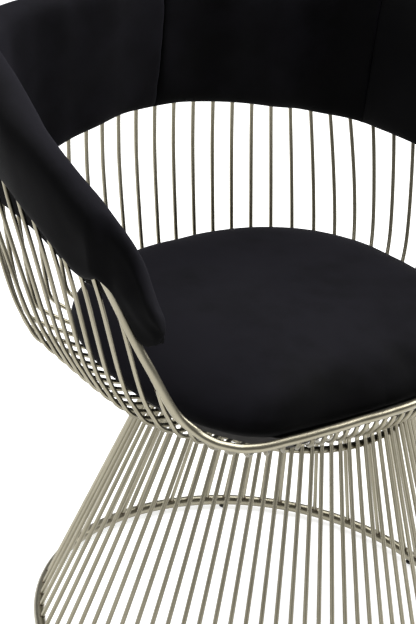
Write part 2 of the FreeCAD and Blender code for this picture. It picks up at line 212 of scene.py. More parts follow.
def velvet(name):
    n = Nodes(name)
    obj = n.coord("Object")
    pile = n.noise(obj, 3200, 2, 0.6)
    strokes = n.noise(obj, 9, 4, 0.55, 0.6)
    cloud = n.noise(obj, 45, 3, 0.5)
    specks = n.noise(obj, 260, 3, 0.65)
    # painted light and shade: points facing the lit side get a paler base colour and more sheen, points facing away get
    # darker, with noise mottling the edge between
    shade_and_mottle = n.add("ShaderNodeAttribute", attribute_name="shade_by_facing").outputs["Fac"]
    shade_and_mottle = n.math("ADD", shade_and_mottle, n.math("MULTIPLY", n.math("SUBTRACT", strokes, 0.5), 0.35))
    shade_and_mottle = n.math("ADD", shade_and_mottle, n.math("MULTIPLY", n.math("SUBTRACT", cloud, 0.5), 0.55))
    shade_and_mottle = n.math("ADD", shade_and_mottle, n.math("MULTIPLY", n.math("SUBTRACT", specks, 0.5), 0.35))
    # painted shade: base colour runs darker or paler with the painted facing shade and the mottling
    tone = n.ramp(shade_and_mottle, [(0.12, (0.0010, 0.0010, 0.0012, 1)), (0.42, (0.0023, 0.0022, 0.0029, 1)),
                        (0.85, (0.0040, 0.0038, 0.0053, 1))])
    n.link(tone, n.p.inputs["Base Color"])
    n.link(n.range(strokes, 0.3, 0.7, 0.72, 0.9), n.p.inputs["Roughness"])
    # painted sheen: sheen weight rises with the painted facing shade
    n.link(n.range(shade_and_mottle, 0.1, 0.8, 0.002, 0.019), n.p.inputs["Sheen Weight"])
    n.set(Sheen_Roughness=0.5, Sheen_Tint=(0.78, 0.74, 1.0, 1), Specular_IOR_Level=0.05)
    n.bump(n.math("ADD", n.math("MULTIPLY", pile, 0.6), n.math("MULTIPLY", cloud, 0.4)), 0.25, 0.0006)
    return n.mat


def rubber(name):
    n = Nodes(name)
    obj = n.coord("Object")
    g = n.noise(obj, 900, 3, 0.6)
    n.link(n.ramp(g, [(0.3, (0.014, 0.014, 0.014, 1)), (0.7, (0.028, 0.028, 0.027, 1))]), n.p.inputs["Base Color"])
    n.link(n.range(g, 0.3, 0.7, 0.6, 0.85), n.p.inputs["Roughness"])
    n.bump(g, 0.2, 0.0003)
    return n.mat


def plastic(name):
    n = Nodes(name)
    obj = n.coord("Object")
    g = n.noise(obj, 1500, 2, 0.5)
    n.link(n.ramp(g, [(0.3, (0.018, 0.018, 0.019, 1)), (0.7, (0.03, 0.03, 0.031, 1))]), n.p.inputs["Base Color"])
    n.link(n.range(g, 0.3, 0.7, 0.45, 0.6), n.p.inputs["Roughness"])
    n.bump(g, 0.12, 0.0002)
    return n.mat


def zinc(name):
    n = Nodes(name)
    obj = n.coord("Object")
    g = n.noise(obj, 160, 4, 0.6)
    n.link(n.ramp(g, [(0.3, (0.48, 0.49, 0.52, 1)), (0.7, (0.66, 0.66, 0.67, 1))]), n.p.inputs["Base Color"])
    n.link(n.range(g, 0.3, 0.7, 0.28, 0.45), n.p.inputs["Roughness"])
    n.set(Metallic=1.0)
    n.bump(g, 0.08, 0.0003)
    return n.mat


def plywood(name):
    n = Nodes(name)
    obj = n.coord("Object")
    grain = n.noise(n.mapping(obj, (1, 0.05, 1)), 420, 4, 0.6, 0.3)
    plies = n.add("ShaderNodeTexWave", bands_direction="Z")
    plies.inputs["Scale"].default_value = 130.0
    plies.inputs["Distortion"].default_value = 0.6
    n.link(obj, plies.inputs["Vector"])
    col = n.mix(0.25, n.ramp(grain, [(0.25, (0.010, 0.009, 0.008, 1)), (0.75, (0.026, 0.023, 0.020, 1))]),
                n.ramp(plies.outputs["Fac"], [(0.2, (0.008, 0.007, 0.006, 1)), (0.8, (0.032, 0.028, 0.024, 1))]))
    n.link(col, n.p.inputs["Base Color"])
    n.link(n.range(grain, 0.3, 0.7, 0.55, 0.75), n.p.inputs["Roughness"])
    n.bump(grain, 0.2, 0.0004)
    return n.mat


def dust_cloth(name):
    n = Nodes(name)
    obj = n.coord("Object")
    wx = n.add("ShaderNodeTexWave", bands_direction="X")
    wx.inputs["Scale"].default_value = 210.0
    wy = n.add("ShaderNodeTexWave", bands_direction="Y")
    wy.inputs["Scale"].default_value = 210.0
    n.link(obj, wx.inputs["Vector"])
    n.link(obj, wy.inputs["Vector"])
    weave = n.math("MAXIMUM", wx.outputs["Fac"], wy.outputs["Fac"])
    n.link(n.ramp(weave, [(0.2, (0.006, 0.006, 0.006, 1)), (0.9, (0.022, 0.022, 0.023, 1))]), n.p.inputs["Base Color"])
    n.link(n.range(weave, 0, 1, 0.95, 0.8), n.p.inputs["Roughness"])
    n.set(Specular_IOR_Level=0.2)
    n.bump(weave, 0.3, 0.0004)
    return n.mat


BAR = brushed_metal("warm_brushed_bar", True)
WELD = weld_metal("weld_bead")
MAT = {
    "brushed_metal": brushed_metal("warm_brushed_steel"),
    "black_velvet": velvet("black_velvet"),
    "black_rubber": rubber("black_rubber"),
    "black_plastic": plastic("black_plastic"),
    "zinc_steel": zinc("zinc_steel"),
    "plywood": plywood("stained_plywood"),
    "dust_cloth": dust_cloth("dust_cloth"),
}
for sub in frame["record"]["subparts"]:
    o = nodes[sub["node"]]
    o.data.materials.clear()
    o.data.materials.append(MAT[sub["material_slot"]])

# ------------------------------------------------------------------ layout of the chair (metres, angles in degrees from the front)


def pchip(table, kx=1.0, ky=1.0):
    xs = np.array([p[0] for p in table], float) * kx
    ys = np.array([p[1] for p in table], float) * ky
    h = np.diff(xs)
    s = np.diff(ys) / h
    m = np.zeros(len(xs))
    for i in range(1, len(xs) - 1):
        if s[i - 1] * s[i] > 0:
            w1, w2 = 2 * h[i] + h[i - 1], h[i] + 2 * h[i - 1]
            m[i] = (w1 + w2) / (w1 / s[i - 1] + w2 / s[i])
    m[0] = s[0] if abs(s[0]) < 1e-9 else m[1] * 0.5
    m[-1] = m[-2] * 0.5

    def f(x):
        x = np.clip(np.asarray(x, float), xs[0], xs[-1])
        i = np.clip(np.searchsorted(xs, x) - 1, 0, len(h) - 1)
        t = (x - xs[i]) / h[i]
        return ((2 * t ** 3 - 3 * t ** 2 + 1) * ys[i] + (t ** 3 - 2 * t ** 2 + t) * h[i] * m[i]
                + (-2 * t ** 3 + 3 * t ** 2) * ys[i + 1] + (t ** 3 - t ** 2) * h[i] * m[i + 1])
    return f


MM = 0.001
WAIST_R, WAIST_Z, WAIST_BEND = 141.2 * MM, 341.7 * MM, 8.0 * MM
RING_BAR, GLIDE_H = 13.0 * MM, 3.0 * MM
ROD_R, RODS, ROD_CROWD = 2.5 * MM, 74, -0.13
LEAN_Z, LEAN_SOFT = 344.0 * MM, 10.0 * MM
RAIL_R = 5.0 * MM
ring_r, ring_z = R - RING_BAR / 2, GLIDE_H + RING_BAR / 2
REACH = pchip([(0, .713), (11.2, .727), (27.2, .823), (39.7, .974), (48.1, 1.118), (52.2, 1.160), (56.2, 1.166),
               (66, 1.137), (74, 1.158), (82, 1.176), (90, 1.176), (98, 1.178), (104, 1.186), (110, 1.205), (116, 1.239),
               (122, 1.292), (128, 1.347), (134, 1.353), (141, 1.311), (150, 1.222), (165, 1.144), (180, 1.137)], 1, R)
RISE_SIDE = pchip([(1.2894, 0), (1.31, .16), (1.342, .40), (1.4, .588), (1.475, .673), (1.55, .742), (1.64, .790),
                   (1.77, .842), (1.95, .910), (2.15, 1.0), (2.6, 1.167), (3.0, 1.30)], R, 1)
RISE_BACK = pchip([(1.2894, 0), (1.31, .16), (1.342, .50), (1.4, .742), (1.475, .785), (1.55, .818), (1.64, .854),
                   (1.77, .904), (1.95, .962), (2.15, 1.0), (2.6, 1.01), (3.0, 1.02)], R, 1)
LEAN = pchip([(0, 0), (40, 19.1), (60, 34.2), (75, 37.5), (90, 36.0), (105, 44.0), (120, 45.0), (135, 27.3), (150, 12.0),
              (165, 5.0), (180, 0)])
RAIL_Z = pchip([(0, 1.443), (20, 1.443), (40, 1.443), (56, 1.443), (60, 1.453), (64, 1.481), (66.5, 1.517), (69.4, 1.61),
                (72.2, 1.717), (74.7, 1.80), (78, 1.926), (80, 2.013), (82.3, 2.11), (85.5, 2.21), (89, 2.29), (95, 2.37),
                (105, 2.437), (114, 2.492), (126, 2.54), (138.5, 2.577), (156.4, 2.625), (180, 2.665)], 1, R)
PAD_LOW_IN = pchip([(70.3, 1.889), (71.3, 1.847), (72.3, 1.832), (74.2, 1.828), (76, 1.85), (77.8, 1.902), (79.8, 1.935),
                    (84.4, 1.955), (95, 1.958), (105, 1.985), (112, 2.0), (125.5, 2.0), (134.1, 2.0), (143, 2.03),
                    (150, 2.06), (158, 2.09), (165, 2.107), (172, 2.117), (180, 2.12)], 1, R)
PAD_LOW_OUT = pchip([(70.3, 1.0), (79.2, 1.5), (80.0, 2.175), (81, 2.115), (82.4, 2.085), (85.1, 2.070), (89, 2.102),
                     (93.5, 2.138), (97.4, 2.166), (101.6, 2.189), (107.2, 2.218), (111.6, 2.234), (116, 2.255),
                     (125, 2.33), (138.6, 2.42), (156.6, 2.496), (180, 2.545)], 1, R)
PAD_TOP = pchip([(70.2, 1.952), (70.7, 1.995), (71.3, 2.03), (72, 2.075), (73.9, 2.205), (75.8, 2.27), (77.7, 2.32),
                 (82.1, 2.406), (88.2, 2.485), (94.6, 2.544), (104.1, 2.61), (113.2, 2.67), (120, 2.705), (126, 2.725),
                 (140, 2.748), (160, 2.766), (180, 2.78)], 1, R)
LIP = pchip([(69.0, 0.0), (79.4, 0.0), (81.2, 1.0), (180, 1.0)])
PAD_THICK = pchip([(70.0, 9.0), (73.0, 11.0), (80.0, 16.0), (90.0, 17.0), (115.0, 19.0), (128.0, 22.0), (140.0, 22.0),
                   (180.0, 15.0)], 1, MM)
PAD_SEAM, TIP = 127.5, 70.3
SEAT_PLAN = pchip([(0, .645), (13.2, .659), (25.2, .705), (35.2, .776), (41.2, .832), (47.2, .881), (53.2, .905),
                   (59.2, .912), (67.2, .908), (77, .902), (90, .902), (105, .920), (120, .955), (135, .970), (150, .955),
                   (165, .935), (180, .928)], 1, R)


def fold(deg):
    return np.abs((np.asarray(deg, float) + 180.0) % 360.0 - 180.0)


def reach_at(deg, z):
    f = fold(deg)
    t = np.clip((f - 88.0) / 62.0, 0.0, 1.0)
    w = t * t * (3 - 2 * t)
    return WAIST_R + (REACH(f) - WAIST_R) * ((1 - w) * RISE_SIDE(z) + w * RISE_BACK(z))


def at(deg, r, z):
    a = np.radians(deg)
    r, z = np.asarray(r, float), np.asarray(z, float)
    return np.stack([r * np.sin(a), Y_SHIFT - r * np.cos(a) + 0 * z, z + 0 * r], -1)


def rail_point(deg):
    z = RAIL_Z(fold(deg))
    return at(deg, reach_at(deg, z), z)


def lean_at(deg, z):
    """Angle of a wire at height z: in the bowl the wires lean to the back."""
    h = np.maximum(0.0, np.asarray(z, float) - LEAN_Z)
    side = 1.0 if (deg + 180.0) % 360.0 >= 180.0 else -1.0
    return deg + side * float(LEAN(fold(deg))) * h * h / (h + LEAN_SOFT)


def new_object(name, verts, faces, mat, smooth=True, uv=None):
    me = bpy.data.meshes.new(name)
    me.from_pydata([tuple(map(float, v)) for v in verts], [], faces)
    me.update()
    if smooth:
        me.polygons.foreach_set("use_smooth", [True] * len(me.polygons))
    if uv is not None:
        lay = me.uv_layers.new(name="UVMap")
        idx = np.zeros(len(me.loops), int)
        me.loops.foreach_get("vertex_index", idx)
        lay.data.foreach_set("uv", np.asarray(uv, np.float32)[idx].ravel())
    o = bpy.data.objects.new(name, me)
    scene.collection.objects.link(o)
    me.materials.append(mat)
    return o


def outward(o):
    bm = bmesh.new()
    bm.from_mesh(o.data)
    bmesh.ops.recalc_face_normals(bm, faces=bm.faces)
    bm.to_mesh(o.data)
    bm.free()


# ------------------------------------------------------------------ bent wires and bars


def tube(path, radius, side, sides=14, closed=False, wide=0.0):
    """Round bar along path. side is a unit vector across the bend at each point. Returns verts, faces, uv."""
    path = np.asarray(path, float)
    n = len(path)
    if closed:
        t = np.roll(path, -1, 0) - np.roll(path, 1, 0)
    else:
        t = np.gradient(path, axis=0)
    t /= np.linalg.norm(t, axis=1, keepdims=True)
    b = np.asarray(side, float) * np.ones((n, 1))
    b = b - t * (b * t).sum(1, keepdims=True)
    b /= np.linalg.norm(b, axis=1, keepdims=True)
    w = np.cross(b, t)
    s = np.r_[0, np.cumsum(np.linalg.norm(np.diff(path, axis=0), axis=1))]
    verts, uv, faces = [], [], []
    rows = n + (1 if closed else 0)
    for k in range(rows):
        i = k % n
        for j in range(sides + 1):
            a = 2 * math.pi * j / sides
            verts.append(path[i] + radius * (math.cos(a) * w[i] + math.sin(a) * b[i]))
            uv.append((j / sides, s[i] if k < n else s[-1] + np.linalg.norm(path[0] - path[-1])))
    m = sides + 1
    for k in range(rows - 1):
        for j in range(sides):
            faces.append((k * m + j, k * m + j + 1, (k + 1) * m + j + 1, (k + 1) * m + j))
    if not closed:
        for k, flip in ((0, 1), (n - 1, 0)):
            c = len(verts)
            verts.append(path[k])
            uv.append((0.5, s[k]))
            for j in range(sides):
                f = (k * m + j, k * m + j + 1, c)
                faces.append(f[::-1] if flip else f)
    return verts, faces, uv


def gather(parts):
    verts, faces, uv = [], [], []
    for v, f, u in parts:
        o = len(verts)
        verts += list(v)
        uv += list(u)
        faces += [tuple(int(i) + o for i in q) for q in f]
    return verts, faces, uv


def weld_seams(o):
    """Joins the doubled seam line of each bar, keeping its texture coordinates."""
    bm = bmesh.new()
    bm.from_mesh(o.data)
    bmesh.ops.remove_doubles(bm, verts=bm.verts, dist=1e-6)
    bmesh.ops.recalc_face_normals(bm, faces=bm.faces)
    bm.to_mesh(o.data)
    bm.free()
    o.data.polygons.foreach_set("use_smooth", [True] * len(o.data.polygons))
    m = o.modifiers.new("crisp_ends", "EDGE_SPLIT")
    m.split_angle = math.radians(50)


RAIL_AXIS = rail_point(np.arange(0, 360, 0.2))


def wire_path(deg):
    lx, lz = WAIST_R - ring_r, WAIST_Z - ring_z
    ll = math.hypot(lx, lz)
    lx, lz = lx / ll, lz / ll
    sink = RING_BAR / 2 - 1.0 * MM
    foot = np.array([ring_r + lx * sink, ring_z + lz * sink])
    z2 = 1.31 * R
    p2 = np.array([float(reach_at(deg, z2)), z2])
    t = p2 - np.array([WAIST_R, WAIST_Z])
    t /= np.linalg.norm(t)
    w = np.array([WAIST_R, WAIST_Z])
    ld = np.array([lx, lz])
    inner = math.acos(max(-1.0, min(1.0, -float(ld @ t))))
    cut = WAIST_BEND / math.tan(inner / 2)
    a0, a1 = w - ld * cut, w + t * cut
    bis = t - ld
    bis /= np.linalg.norm(bis)
    cen = w + bis * WAIST_BEND / math.sin(inner / 2)
    g0 = math.atan2(*(a0 - cen)[::-1])
    g1 = math.atan2(*(a1 - cen)[::-1])
    turn = (g1 - g0 + math.pi) % (2 * math.pi) - math.pi
    arc = [cen + WAIST_BEND * np.array([math.cos(g0 + turn * k / 10), math.sin(g0 + turn * k / 10)]) for k in range(11)]
    zz = np.arange(z2, 2.8 * R, 0.25 * MM)
    la = lean_at(deg, zz)
    over = np.where(zz >= RAIL_Z(fold(la)))[0][0]
    zz, la = zz[:over + 1], la[:over + 1]
    pts = at(la, reach_at(la, zz), zz)
    near = RAIL_AXIS[np.linalg.norm(RAIL_AXIS - pts[-1], axis=1) < 0.06]
    d = np.linalg.norm(pts[:, None] - near[None], axis=2).min(1)
    hit = np.where(d < RAIL_R - 1.0 * MM)[0]
    stop = zz[hit[0]] if len(hit) else zz[-1]
    keep = zz <= stop + 1e-9
    run = np.r_[0, np.cumsum(np.linalg.norm(np.diff(pts[keep], axis=0), axis=1))]
    zs = np.interp(np.linspace(0, run[-1], max(6, int(run[-1] / (5 * MM)))), run, zz[keep])
    flat = [foot + (a0 - foot) * k / 6 for k in range(6)] + arc
    first = arc[-1]
    if np.linalg.norm(p2 - first) > 4 * MM:
        flat.append((first + p2) / 2)
    flat = np.array(flat)
    la = lean_at(deg, zs)
    return np.vstack([at(deg, flat[:, 0], flat[:, 1]), at(la, reach_at(la, zs), zs)])


def bead(c, axis, major, minor, seed):
    """Small uneven weld bead round a wire."""
    rng = np.random.default_rng(seed)
    axis = np.asarray(axis, float) / np.linalg.norm(axis)
    u = np.cross(axis, [0.3, 0.5, 0.8])
    u /= np.linalg.norm(u)
    v = np.cross(axis, u)
    verts, faces, uv = [], [], []
    na, nb = 14, 7
    ph = rng.uniform(0, 6.28, 3)
    for i in range(na):
        a = 2 * math.pi * i / na
        q = 1 + 0.22 * math.sin(2 * a + ph[0]) + 0.14 * math.sin(5 * a + ph[1])
        for j in range(nb):
            g = 2 * math.pi * j / nb
            rr = major + minor * q * math.cos(g)
            verts.append(c + u * rr * math.cos(a) + v * rr * math.sin(a) + axis * minor * 0.8 * q * math.sin(g))
            uv.append((i / na, j / nb))
    for i in range(na):
        for j in range(nb):
            faces.append((i * nb + j, ((i + 1) % na) * nb + j, ((i + 1) % na) * nb + (j + 1) % nb, i * nb + (j + 1) % nb))
    return verts, faces, uv


def make_wires():
    sectors = ["front", "front_left", "left", "back_left", "back", "back_right", "right", "front_right"]
    groups = {k: [] for k in sectors}
    feet, tops = [], []
    for i in range(RODS):
        th = (i + 0.5) * 2 * math.pi / RODS
        deg = math.degrees(th + ROD_CROWD * math.sin(th))
        p = wire_path(deg)
        a = math.radians(deg)
        groups[sectors[int(((deg + 22.5) % 360.0) // 45.0)]].append(tube(p, ROD_R, (math.cos(a), math.sin(a), 0.0)))
        d = p[1] - p[0]
        feet.append(bead(p[0] + d / np.linalg.norm(d) * 1.3 * MM, d, ROD_R + 0.25 * MM, 0.85 * MM, i))
        if fold(math.degrees(math.atan2(p[-1][0], Y_SHIFT - p[-1][1]))) < 79.5:
            d = p[-1] - p[-2]
            tops.append(bead(p[-1] - d / np.linalg.norm(d) * 1.3 * MM, d, ROD_R + 0.15 * MM, 0.7 * MM, 100 + i))
    for k in sectors:
        o = new_object("wires_" + k, *gather(groups[k])[:2], BAR, uv=gather(groups[k])[2])
        weld_seams(o)
        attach(o, "root")
        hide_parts("rods_" + k)
    for name, parts in (("foot_welds", feet), ("rail_welds", tops)):
        v, f, u = gather(parts)
        o = new_object(name, v, f, WELD, uv=u)
        outward(o)
        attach(o, "root")


def make_bars():
    d = np.linspace(-88 + 0.03, 88 - 0.03, 236)
    v, f, u = tube(rail_point(d), RAIL_R, (0, 0, 1.0), 24)
    o = new_object("front_rail_bar", v, f, BAR, uv=u)
    weld_seams(o)
    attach(o, "root")
    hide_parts("front_rail")
    a = np.arange(0, 360, 1.5)
    v, f, u = tube(at(a, ring_r, ring_z + 0 * a), RING_BAR / 2, (0, 0, 1.0), 28, True)
    o = new_object("floor_ring_bar", v, f, BAR, uv=u)
    weld_seams(o)
    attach(o, "root")
    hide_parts("floor_ring")


make_wires()
make_bars()

# ------------------------------------------------------------------ padded pieces


def even_out(o, d, rounds, pinned):
    """Averages a displacement with its neighbours, so that only the broad folds stay."""
    e = np.zeros(len(o.data.edges) * 2, int)
    o.data.edges.foreach_get("vertices", e)
    e = e.reshape(-1, 2)
    deg = np.zeros(len(d))
    np.add.at(deg, e[:, 0], 1)
    np.add.at(deg, e[:, 1], 1)
    for _ in range(rounds):
        acc = np.zeros_like(d)
        np.add.at(acc, e[:, 0], d[e[:, 1]])
        np.add.at(acc, e[:, 1], d[e[:, 0]])
        d = 0.4 * d + 0.6 * acc / deg[:, None]
        d[pinned] = 0
    return d


def puff(o, pinned, pressure, cap, calm, frames=20, tension=12.0, bending=0.6):
    """Inflates a closed cover a little with a cloth simulation and keeps the result."""
    co = np.zeros(len(o.data.vertices) * 3)
    o.data.vertices.foreach_get("co", co)
    co = co.reshape(-1, 3)
    vg = o.vertex_groups.new(name="pin")
    vg.add([int(i) for i in pinned], 1.0, "REPLACE")
    m = o.modifiers.new("cloth", "CLOTH")
    st = m.settings
    st.quality = 6
    st.mass = 0.25
    st.tension_stiffness = st.compression_stiffness = tension
    st.shear_stiffness = 4.0
    st.bending_stiffness = bending
    st.vertex_group_mass = "pin"
    st.use_pressure = True
    st.uniform_pressure_force = pressure
    st.effector_weights.gravity = 0.0
    m.point_cache.frame_start, m.point_cache.frame_end = 1, frames
    for f in range(1, frames + 1):
        scene.frame_set(f)
    dg = bpy.context.evaluated_depsgraph_get()
    ev = o.evaluated_get(dg).to_mesh()
    out = np.zeros(len(ev.vertices) * 3)
    ev.vertices.foreach_get("co", out)
    out = out.reshape(-1, 3)
    o.evaluated_get(dg).to_mesh_clear()
    o.modifiers.remove(m)
    o.vertex_groups.remove(vg)
    scene.frame_set(1)
    d = out - co
    ln = np.linalg.norm(d, axis=1, keepdims=True)
    d *= np.minimum(1.0, cap / np.maximum(ln, 1e-9))
    d = even_out(o, d, calm, pinned)
    o.data.vertices.foreach_set("co", (co + d).ravel())
    o.data.update()
    print("puff", o.name, "moved mm mean %.2f max %.2f" % (ln.mean() * 1000, ln.max() * 1000))


def normals_of(o):
    n = np.zeros(len(o.data.vertices) * 3)
    o.data.vertices.foreach_get("normal", n)
    return n.reshape(-1, 3)


def coords_of(o):
    c = np.zeros(len(o.data.vertices) * 3)
    o.data.vertices.foreach_get("co", c)
    return c.reshape(-1, 3)


def wobble(p, scale, seed):
    """Smooth pseudo-random field from a few fixed waves."""
    rng = np.random.default_rng(seed)
    v = np.zeros(len(p))
    for _ in range(7):
        k = rng.normal(size=3)
        k *= 2 * math.pi / scale / np.linalg.norm(k) * rng.uniform(0.6, 1.5)
        v += np.sin(p @ k + rng.uniform(0, 6.283))
    return v / 2.6


SEAT_LIT_SIDE, PAD_LIT_SIDE = (-0.60, 0.45, 0.66), (0.72, -0.20, 0.66)   # painted light: surfaces facing this way are painted paler, facing away darker


def paint_light_by_facing(o, seed, lit_side_dir):
    """Writes painted light and shade on each point from the way it faces: 1 facing the lit side, 0 facing away."""
    nrm, c = normals_of(o), coords_of(o)
    # painted shade: normal against the lit direction, with a little wobble
    v = nrm @ (np.array(lit_side_dir) / np.linalg.norm(lit_side_dir)) + 0.10 * wobble(c, 0.16, seed) + 0.06 * wobble(c, 0.05, seed + 1)
    v = np.clip((v + 0.25) / 1.15, 0.0, 1.0)
    a = o.data.attributes.new("shade_by_facing", "FLOAT", "POINT")
    a.data.foreach_set("value", v.astype(np.float32))


def soft_finish(o, node, lit_side_dir):
    # painted light and shade by facing, read by the velvet shader
    paint_light_by_facing(o, 5, lit_side_dir)
    m = o.modifiers.new("smooth_cover", "SUBSURF")
    m.levels = m.render_levels = 1
    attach(o, "root")
    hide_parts(*node)


def curve_through(p, n):
    """n points at even spacing on a centripetal spline through the points p."""
    p = np.asarray(p, float)
    q = np.vstack([2 * p[0] - p[1], p, 2 * p[-1] - p[-2]])
    out = []
    for i in range(1, len(q) - 2):
        p0, p1, p2, p3 = q[i - 1], q[i], q[i + 1], q[i + 2]
        t0 = 0.0
        t1 = t0 + max(np.linalg.norm(p1 - p0), 1e-7) ** 0.5
        t2 = t1 + max(np.linalg.norm(p2 - p1), 1e-7) ** 0.5
        t3 = t2 + max(np.linalg.norm(p3 - p2), 1e-7) ** 0.5
        t = np.linspace(t1, t2, 24, endpoint=False)[:, None]
        a1 = (t1 - t) / (t1 - t0) * p0 + (t - t0) / (t1 - t0) * p1
        a2 = (t2 - t) / (t2 - t1) * p1 + (t - t1) / (t2 - t1) * p2
        a3 = (t3 - t) / (t3 - t2) * p2 + (t - t2) / (t3 - t2) * p3
        b1 = (t2 - t) / (t2 - t0) * a1 + (t - t0) / (t2 - t0) * a2
        b2 = (t3 - t) / (t3 - t1) * a2 + (t - t1) / (t3 - t1) * a3
        out.append((t2 - t) / (t2 - t1) * b1 + (t - t1) / (t2 - t1) * b2)
    c = np.vstack(out + [p[-1:]])
    s = np.r_[0, np.cumsum(np.linalg.norm(np.diff(c, axis=0), axis=1))]
    g = np.linspace(0, s[-1], n)
    return np.stack([np.interp(g, s, c[:, k]) for k in range(c.shape[1])], -1)


# --- seat cushion: two square grids wrapped to round sheets that share their rim
SEAT_TOP = np.array([(0, 434.0), (.28, 433.4), (.48, 431.5), (.64, 428.8), (.77, 423.8), (.875, 416.0), (.95, 405.8),
                     (.99, 395.5), (1.0, 388.0)])
SEAT_LOW = np.array([(0, 376.0), (.86, 376.0), (.93, 376.3), (.97, 378.2), (.992, 382.0), (1.0, 388.0)])
PLAN_MEAN = 0.235


def along(prof, share):
    r = prof[:, 0] * PLAN_MEAN * 1000
    s = np.r_[0, np.cumsum(np.hypot(np.diff(r), np.diff(prof[:, 1])))]
    s = s / s[-1]
    fine = curve_through(prof * np.array([PLAN_MEAN * 1000, 1.0]), 400)
    t = np.r_[0, np.cumsum(np.linalg.norm(np.diff(fine, axis=0), axis=1))]
    t = t / t[-1]
    return np.interp(share, t, fine[:, 0]) / (PLAN_MEAN * 1000), np.interp(share, t, fine[:, 1]) * MM


def make_seat():
    n = 100
    u = np.linspace(-1, 1, n + 1)
    U, W = np.meshgrid(u, u, indexing="ij")
    x = U * np.sqrt(1 - W ** 2 / 2)
    y = W * np.sqrt(1 - U ** 2 / 2)
    rho = np.minimum(1.0, np.hypot(x, y))
    rim = (np.abs(U) > 0.9999) | (np.abs(W) > 0.9999)
    rho[rim] = 1.0
    deg = np.degrees(np.arctan2(x, -y))
    plan = SEAT_PLAN(fold(deg)) - 0.004
    kt, zt = along(SEAT_TOP, rho)
    kb, zb = along(SEAT_LOW, rho)
    top = at(deg.ravel(), (plan * kt).ravel(), zt.ravel())
    low = at(deg.ravel(), (plan * kb).ravel(), zb.ravel())
    ids = np.arange((n + 1) ** 2).reshape(n + 1, n + 1)
    verts = list(top)
    lid = ids.copy()
    for i in range(n + 1):
        for j in range(n + 1):
            if not rim[i, j]:
                lid[i, j] = len(verts)
                verts.append(low[ids[i, j]])
    faces = []
    for i in range(n):
        for j in range(n):
            faces.append((ids[i, j], ids[i + 1, j], ids[i + 1, j + 1], ids[i, j + 1]))
            faces.append((lid[i, j], lid[i, j + 1], lid[i + 1, j + 1], lid[i + 1, j]))
    faces = [tuple(int(v) for v in f) for f in faces]
    o = new_object("seat_cushion_cover", verts, faces, MAT["black_velvet"])
    outward(o)
    pinned = [int(lid[i, j]) for i in range(n + 1) for j in range(n + 1) if not rim[i, j] and kb[i, j] < 0.90]
    puff(o, pinned, 4.0, 0.010, 60)
    # keep the underside flat on its board
    c = coords_of(o)
    c[:, 2] = np.maximum(c[:, 2], 375.5 * MM)
    o.data.vertices.foreach_set("co", c.ravel())
    o.data.update()
    soft_finish(o, ["seat_cushion"], SEAT_LIT_SIDE)
    return o


# --- saddle pad over the rail
PAD_SLOT, PAD_OUT = 7.5 * MM, 15.0 * MM


def rail_roof(deg):
    p, q = rail_point(deg - 0.25), rail_point(deg + 0.25)
    slope = math.atan2(abs(q[2] - p[2]), math.hypot(q[0] - p[0], q[1] - p[1]))
    return float(RAIL_Z(fold(deg))) + 7.5 * MM / math.cos(slope)


N_FACE, N_OUT, N_ROOF, N_IN = 50, 7, 3, 10


def pad_loop(deg, slim=0.0):
    """One closed section of the pad as points in the radial plane at deg."""
    f = float(fold(deg))
    lip = float(LIP(f))
    lo_i, top = float(PAD_LOW_IN(f)), float(PAD_TOP(f))
    roof = min(max(rail_roof(deg), lo_i + 4 * MM), top - 8 * MM)
    lo_o = roof - 2.5 * MM if lip < 0.5 else min(float(PAD_LOW_OUT(f)), roof - 2.5 * MM)
    s_in = PAD_SLOT
    s_out = 1.5 * MM + (PAD_SLOT - 1.5 * MM) * lip
    t_out = 5 * MM + (PAD_OUT - 5 * MM) * lip - slim
    t_in = float(PAD_THICK(f)) - slim
    k = min(1.0, max(0.1, (top - lo_o) / (60 * MM))) * MM
    ki = min(1.0, max(0.12, (top - lo_i) / (70 * MM))) * MM
    h = top - lo_i
    top = top - slim
    outer = [(-s_in, lo_i + 1 * MM), (-s_in - t_in * .55, lo_i - 2 * ki), (-s_in - t_in * .95, lo_i + 9 * ki),
             (-s_in - t_in * 1.02, lo_i + h * .45), (-s_in - t_in * .98, lo_i + h * .75), (-s_in - t_in * .62, top - 7 * k),
             ((s_out + t_out - s_in - t_in) * .45, top), (s_out + t_out * .55, top - 9 * k), (s_out + t_out, top - 28 * k),
             (s_out + t_out * .98, lo_o + (top - 28 * k - lo_o) * .35), (s_out + t_out * .85, lo_o + 5 * k),
             (s_out + t_out * .4, lo_o - 1 * k), (s_out, lo_o + 1 * MM)]
    face = curve_through(outer, N_FACE)

    def lin(a, b, n):
        return np.array(a) + (np.array(b) - np.array(a)) * (np.arange(1, n + 1) / (n + 1))[:, None]
    a, b, c, d = (s_out, lo_o + 1 * MM), (s_out, roof), (-s_in, roof), (-s_in, lo_i + 1 * MM)
    loop = np.vstack([face, lin(a, b, N_OUT), [b], lin(b, c, N_ROOF), [c], lin(c, d, N_IN)])
    return at(deg, reach_at(deg, loop[:, 1]) + loop[:, 0], loop[:, 1])


def pad_angles(a, b, seam_a, seam_b, step=0.9):
    """Angles from a to b, closer together at a seam end."""
    near = np.array([0.0, 0.16, 0.36, 0.62, 1.0, 1.55])
    lo = a + near if seam_a else np.array([a])
    hi = b - near[::-1] if seam_b else np.array([b])
    n = max(2, int(round((hi[0] - lo[-1]) / step)))
    return np.r_[lo[:-1], np.linspace(lo[-1], hi[0], n + 1), hi[1:]]


